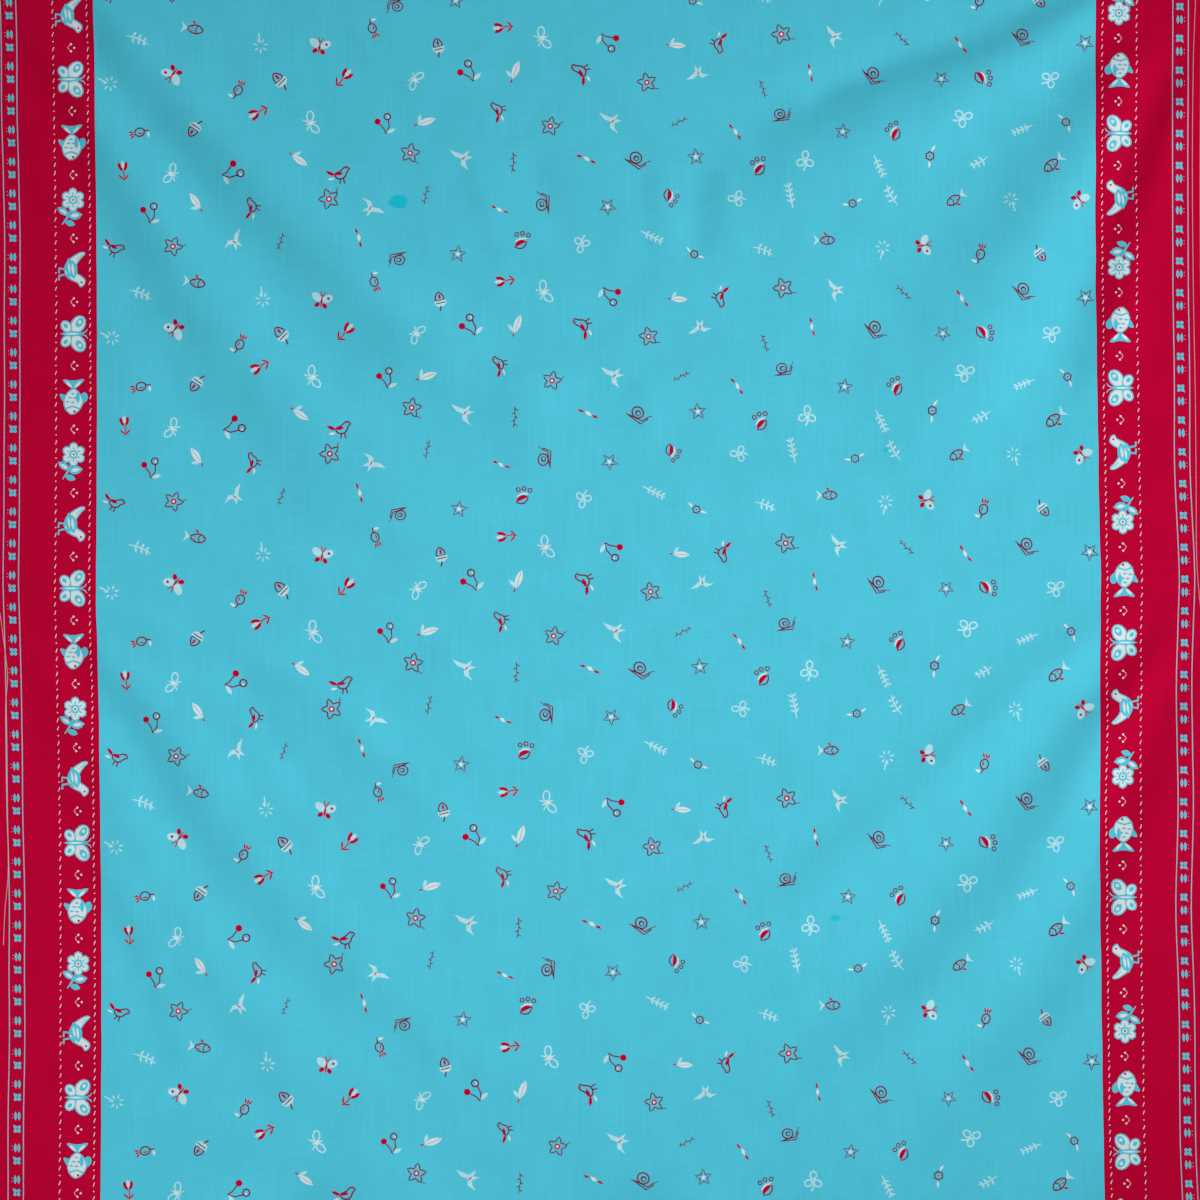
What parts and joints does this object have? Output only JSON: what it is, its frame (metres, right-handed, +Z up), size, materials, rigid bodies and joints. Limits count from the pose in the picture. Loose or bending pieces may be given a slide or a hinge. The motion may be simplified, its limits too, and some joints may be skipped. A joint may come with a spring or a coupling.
{
  "type": "printed cotton dress fabric, one hung length",
  "caption": "Hung length of thin turquoise printed cotton with crimson border bands down both selvedges, held straight along its top edge and falling in soft diagonal folds.",
  "frame": {"origin": "middle of the top cut edge, where the cloth is held", "axes": "+Z up, against the warp from the foot to the held edge; +X across the cloth to the viewer's right; -Y out of the printed face, towards the viewer"},
  "size_m": [0.9186, 0.0286, 0.998],
  "materials": {
    "printed_cotton": "matte plain weave"
  },
  "bodies": {
    "root": {"cloth": "printed_cotton"}
  },
  "joints": []
}
